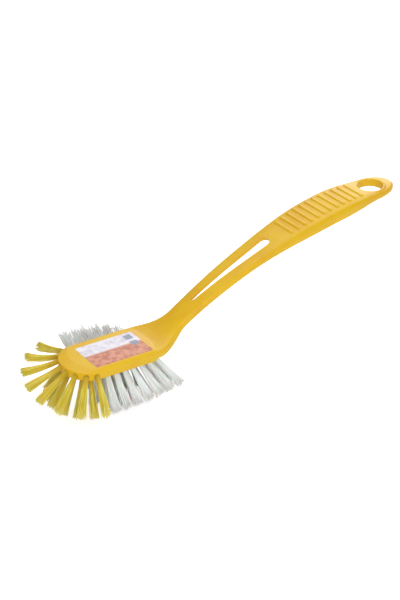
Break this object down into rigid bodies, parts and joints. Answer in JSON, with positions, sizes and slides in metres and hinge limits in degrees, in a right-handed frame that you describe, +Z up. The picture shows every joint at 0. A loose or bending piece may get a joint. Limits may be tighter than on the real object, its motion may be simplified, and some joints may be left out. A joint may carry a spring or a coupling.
{
  "type": "washing-up brush",
  "caption": "Long-handled washing-up brush: oval-nosed head with a radial fan of tufts at the front, splayed side tufts, a bowed slotted handle with a ribbed grip and a hanging hole.",
  "frame": {"origin": "centre of the hanging hole near the handle's end, at the middle of the handle's thickness there", "axes": "+Z up, along the hanging hole's axis, out of the back of the brush, with the bristles pointing down; +X along the brush from the head towards the handle's end; the brush's plane of symmetry is Y = 0"},
  "size_m": [0.2922, 0.088, 0.105],
  "materials": {
    "yellow_plastic": "semi-gloss moulded polypropylene, warm yellow",
    "yellow_bristle": "translucent yellow polypropylene filament, straight cut",
    "white_bristle": "translucent white polypropylene filament, straight cut",
    "anchor_wire": "drawn flat wire, cropped",
    "label_paper": null
  },
  "bodies": {
    "root": {"label": "label_paper", "moulding": "yellow_plastic", "white_tuft_anchors": "anchor_wire", "white_tuft_far_inner_1": "white_bristle", "white_tuft_far_inner_2": "white_bristle", "white_tuft_far_inner_3": "white_bristle", "white_tuft_far_inner_4": "white_bristle", "white_tuft_far_inner_5": "white_bristle", "white_tuft_far_inner_6": "white_bristle", "white_tuft_far_outer_1": "white_bristle", "white_tuft_far_outer_2": "white_bristle", "white_tuft_far_outer_3": "white_bristle", "white_tuft_far_outer_4": "white_bristle", "white_tuft_far_outer_5": "white_bristle", "white_tuft_far_outer_6": "white_bristle", "white_tuft_far_outer_7": "white_bristle", "white_tuft_middle_1": "white_bristle", "white_tuft_middle_2": "white_bristle", "white_tuft_middle_3": "white_bristle", "white_tuft_middle_4": "white_bristle", "white_tuft_middle_5": "white_bristle", "white_tuft_middle_6": "white_bristle", "white_tuft_middle_7": "white_bristle", "white_tuft_near_inner_1": "white_bristle", "white_tuft_near_inner_2": "white_bristle", "white_tuft_near_inner_3": "white_bristle", "white_tuft_near_inner_4": "white_bristle", "white_tuft_near_inner_5": "white_bristle", "white_tuft_near_inner_6": "white_bristle", "white_tuft_near_outer_1": "white_bristle", "white_tuft_near_outer_2": "white_bristle", "white_tuft_near_outer_3": "white_bristle", "white_tuft_near_outer_4": "white_bristle", "white_tuft_near_outer_5": "white_bristle", "white_tuft_near_outer_6": "white_bristle", "white_tuft_near_outer_7": "white_bristle", "yellow_tuft_anchors": "anchor_wire", "yellow_tuft_lower_1": "yellow_bristle", "yellow_tuft_lower_2": "yellow_bristle", "yellow_tuft_lower_3": "yellow_bristle", "yellow_tuft_lower_4": "yellow_bristle", "yellow_tuft_lower_5": "yellow_bristle", "yellow_tuft_lower_6": "yellow_bristle", "yellow_tuft_lower_7": "yellow_bristle", "yellow_tuft_upper_1": "yellow_bristle", "yellow_tuft_upper_2": "yellow_bristle", "yellow_tuft_upper_3": "yellow_bristle", "yellow_tuft_upper_4": "yellow_bristle", "yellow_tuft_upper_5": "yellow_bristle", "yellow_tuft_upper_6": "yellow_bristle", "yellow_tuft_upper_7": "yellow_bristle", "yellow_tuft_upper_8": "yellow_bristle"}
  },
  "joints": []
}
